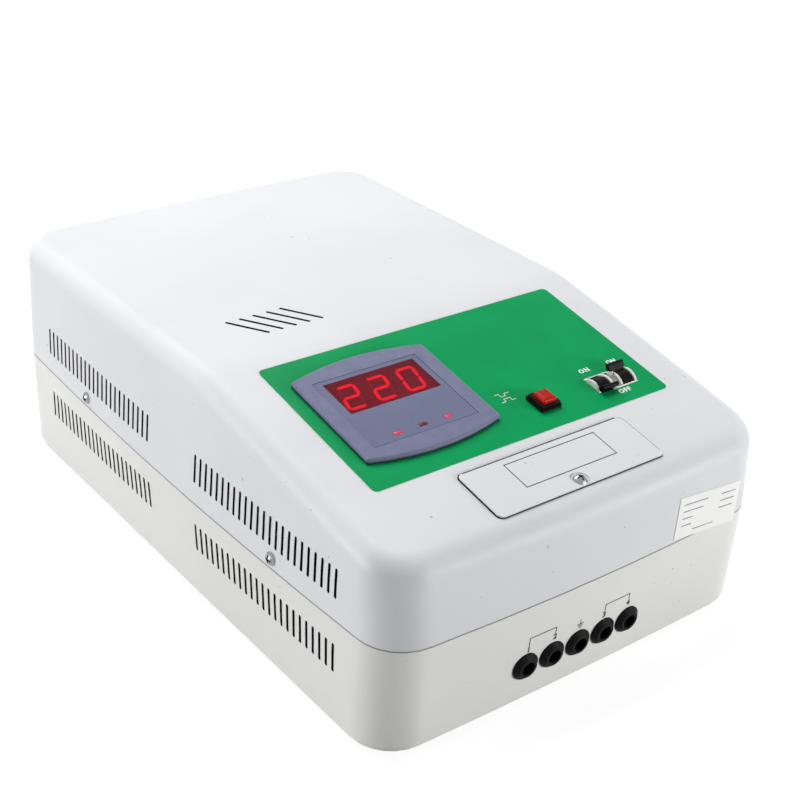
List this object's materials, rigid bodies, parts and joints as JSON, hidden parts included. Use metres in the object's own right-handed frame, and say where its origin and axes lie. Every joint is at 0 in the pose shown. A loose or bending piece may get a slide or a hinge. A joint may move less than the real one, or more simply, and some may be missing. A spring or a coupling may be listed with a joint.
{
  "type": "voltage stabilizer",
  "caption": "Wall-hung sheet-steel voltage stabilizer with a sloping front panel, digital display, push button, two breaker toggles, vent slots and cable grommets.",
  "frame": {"origin": "centre of the overall box at its lowest face, which is the wall side of the housing", "axes": "+X across the housing, +Y towards the plain end away from the cable grommets, +Z from the wall side to the flat top"},
  "size_m": [0.2812, 0.4223, 0.148],
  "materials": {
    "cover_paint": "semi-gloss powder coat",
    "tray_paint": "semi-gloss powder coat",
    "zinc_steel": "zinc plated",
    "green_film": "printed film",
    "bezel_plastic": "fine moulded",
    "red_window": "tinted, polished",
    "digit_plastic": "moulded",
    "lamp_red": "clear moulded",
    "board_laminate": "solder resist",
    "black_plastic": "moulded",
    "button_red": "moulded",
    "contact_brass": "bright",
    "white_plastic": "moulded",
    "grommet_rubber": "matt",
    "terminal_plastic": "moulded",
    "core_steel": "wound strip",
    "copper_winding": "enamelled",
    "relay_case": "moulded",
    "capacitor_sleeve": "shrunk sleeve",
    "sink_aluminium": "black anodised",
    "coil_tape": "taped"
  },
  "bodies": {
    "housing": {"base_tray": "tray_paint", "top_cover": "cover_paint", "lip_nuts": "zinc_steel", "cover_screws": "zinc_steel", "terminal_hatch": "cover_paint", "hatch_screw": "zinc_steel", "hatch_nut": "zinc_steel", "front_film": "green_film", "display_bezel": "bezel_plastic", "bezel_film": "bezel_plastic", "display_window": "red_window", "digit_modules": "digit_plastic", "indicator_leds": "lamp_red", "display_board": "board_laminate", "display_screws": "zinc_steel", "button_housing": "black_plastic", "button_contacts": "contact_brass", "bypass_breaker": "white_plastic", "mains_breaker": "white_plastic", "toggle_pins": "zinc_steel", "breaker_screws": "contact_brass", "breaker_rail": "zinc_steel", "breaker_bracket": "zinc_steel", "cable_grommets": "grommet_rubber", "terminal_bracket": "zinc_steel", "terminal_block": "terminal_plastic", "terminal_clamps": "contact_brass", "terminal_screws": "contact_brass", "earth_stud": "zinc_steel", "earth_nuts": "zinc_steel", "transformer_core": "core_steel", "transformer_winding": "copper_winding", "transformer_pads": "grommet_rubber", "transformer_clamp": "zinc_steel", "transformer_stud": "zinc_steel", "transformer_nut": "zinc_steel", "control_board": "board_laminate", "board_posts": "contact_brass", "board_screws": "zinc_steel", "power_relays": "relay_case", "board_capacitors": "capacitor_sleeve", "board_heatsink": "sink_aluminium", "supply_transformer": "coil_tape", "board_chips": "black_plastic", "board_sockets": "white_plastic"},
    "button": {"button_cap": "button_red"},
    "bypass_lever": {"bypass_toggle": "black_plastic"},
    "mains_lever": {"mains_toggle": "black_plastic"}
  },
  "joints": [
    {"name": "button_press", "type": "slide", "parent": "housing", "child": "button", "axis": [0, 0.1805, -0.9836], "range_m": [0, 0.0025], "stiffness_N_per_m": 400},
    {"name": "bypass_throw", "type": "hinge", "parent": "housing", "child": "bypass_lever", "pos_m": [0.06955, -0.12875, 0.12413], "axis": [-1, 0, 0], "range_deg": [0, 78]},
    {"name": "mains_throw", "type": "hinge", "parent": "housing", "child": "mains_lever", "pos_m": [0.08705, -0.12875, 0.12413], "axis": [-1, 0, 0], "range_deg": [-78, 0]}
  ]
}
